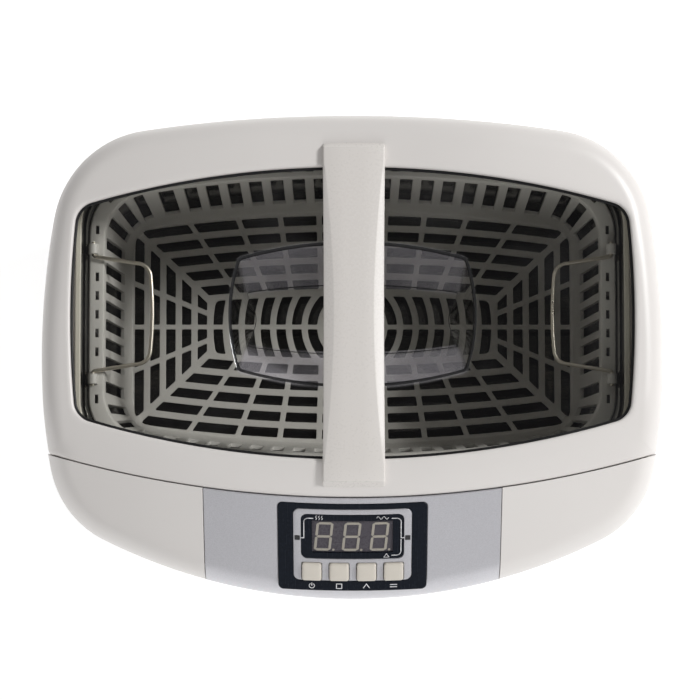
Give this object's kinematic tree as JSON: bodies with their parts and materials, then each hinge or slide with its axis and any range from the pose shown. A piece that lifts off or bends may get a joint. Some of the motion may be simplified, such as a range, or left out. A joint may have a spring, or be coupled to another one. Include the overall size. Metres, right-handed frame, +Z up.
{
  "type": "ultrasonic cleaner",
  "caption": "Bench ultrasonic cleaner: hinged lid with clear window and grip bar, lift-out slotted basket with folding wire handles, steel tank, sloping button panel.",
  "frame": {"origin": "on the bench under the middle of the overall box", "axes": "+X to the right of a user at the front, +Y to the back where the lid hinges, +Z up"},
  "size_m": [0.28, 0.2167, 0.1835],
  "materials": {
    "white_plastic": "satin moulded",
    "silver_plastic": "silver painted, satin",
    "control_film": "printed film",
    "display_lens": "dark tinted",
    "dark_plastic": "fine texture",
    "lamp_plastic": "diffusing",
    "button_plastic": "satin",
    "board_green": "solder mask",
    "stainless_steel": "drawn and polished",
    "black_rubber": "matt",
    "heater_silicone": "matt",
    "sensor_brass": "turned",
    "aluminium": "machined",
    "piezo_ceramic": "silvered faces",
    "zinc_steel": "zinc plated",
    "copper_winding": "enamelled wire",
    "relay_blue": "moulded",
    "capacitor_yellow": "moulded",
    "cable_grey": "flat ribbon",
    "smoked_clear": "clear moulded",
    "grey_plastic": "moulded"
  },
  "bodies": {
    "housing": {"base_plate": "zinc_steel", "base_screw_left_front": "zinc_steel", "base_screw_left_rear": "zinc_steel", "base_screw_right_front": "zinc_steel", "base_screw_right_rear": "zinc_steel", "coil": "copper_winding", "control_board": "board_green", "control_fascia": "silver_plastic", "control_overlay": "control_film", "display_bezel": "silver_plastic", "display_module": "dark_plastic", "display_window": "display_lens", "driver_board": "board_green", "fan_frame": "dark_plastic", "filter_capacitor": "capacitor_yellow", "flat_cable": "cable_grey", "foot_left_front": "black_rubber", "foot_left_rear": "black_rubber", "foot_right_front": "black_rubber", "foot_right_rear": "black_rubber", "fuse_holder": "dark_plastic", "heat_sink": "aluminium", "heater_mat": "heater_silicone", "hinge_pin_left": "stainless_steel", "hinge_pin_right": "stainless_steel", "indicator_led_left": "lamp_plastic", "indicator_led_right": "lamp_plastic", "lower_housing": "white_plastic", "power_inlet": "dark_plastic", "relay": "relay_blue", "tact_switch_mode": "dark_plastic", "tact_switch_off": "dark_plastic", "tact_switch_on": "dark_plastic", "tact_switch_set": "dark_plastic", "tank": "stainless_steel", "tank_gasket": "black_rubber", "temperature_sensor": "sensor_brass", "transducer_bolt_left": "zinc_steel", "transducer_bolt_right": "zinc_steel", "transducer_horn_left": "aluminium", "transducer_horn_right": "aluminium", "transducer_mass_left": "zinc_steel", "transducer_mass_right": "zinc_steel", "transducer_piezo_left": "piezo_ceramic", "transducer_piezo_right": "piezo_ceramic", "upper_housing": "white_plastic"},
    "lid": {"lid_frame": "white_plastic", "lid_window": "smoked_clear", "window_seal": "black_rubber"},
    "basket": {"basket": "grey_plastic"},
    "handle_left": {"handle_left": "stainless_steel"},
    "handle_right": {"handle_right": "stainless_steel"},
    "fan": {"fan_impeller": "dark_plastic"},
    "button_on": {"button_on": "button_plastic"},
    "button_off": {"button_off": "button_plastic"},
    "button_set": {"button_set": "button_plastic"},
    "button_mode": {"button_mode": "button_plastic"}
  },
  "joints": [
    {"name": "lid_hinge", "type": "hinge", "parent": "housing", "child": "lid", "pos_m": [0, 0.1005, 0.1545], "axis": [-1, 0, 0], "range_deg": [0, 85]},
    {"name": "basket_lift", "type": "slide", "parent": "housing", "child": "basket", "axis": [0, 0, 1], "range_m": [0, 0.02]},
    {"name": "handle_left_swing", "type": "hinge", "parent": "basket", "child": "handle_left", "pos_m": [-0.1188, 0.022, 0.138], "axis": [0, -1, 0], "range_deg": [0, 90]},
    {"name": "handle_right_swing", "type": "hinge", "parent": "basket", "child": "handle_right", "pos_m": [0.1188, 0.022, 0.138], "axis": [0, 1, 0], "range_deg": [0, 90]},
    {"name": "fan_spin", "type": "hinge", "parent": "housing", "child": "fan", "pos_m": [0, 0.0894, 0.0315], "axis": [0, 1, 0], "continuous": true},
    {"name": "button_on_press", "type": "slide", "parent": "housing", "child": "button_on", "axis": [0, 0.5145, -0.8575], "range_m": [0, 0.0009], "stiffness_N_per_m": 600},
    {"name": "button_off_press", "type": "slide", "parent": "housing", "child": "button_off", "axis": [0, 0.5145, -0.8575], "range_m": [0, 0.0009], "stiffness_N_per_m": 600},
    {"name": "button_set_press", "type": "slide", "parent": "housing", "child": "button_set", "axis": [0, 0.5145, -0.8575], "range_m": [0, 0.0009], "stiffness_N_per_m": 600},
    {"name": "button_mode_press", "type": "slide", "parent": "housing", "child": "button_mode", "axis": [0, 0.5145, -0.8575], "range_m": [0, 0.0009], "stiffness_N_per_m": 600}
  ]
}
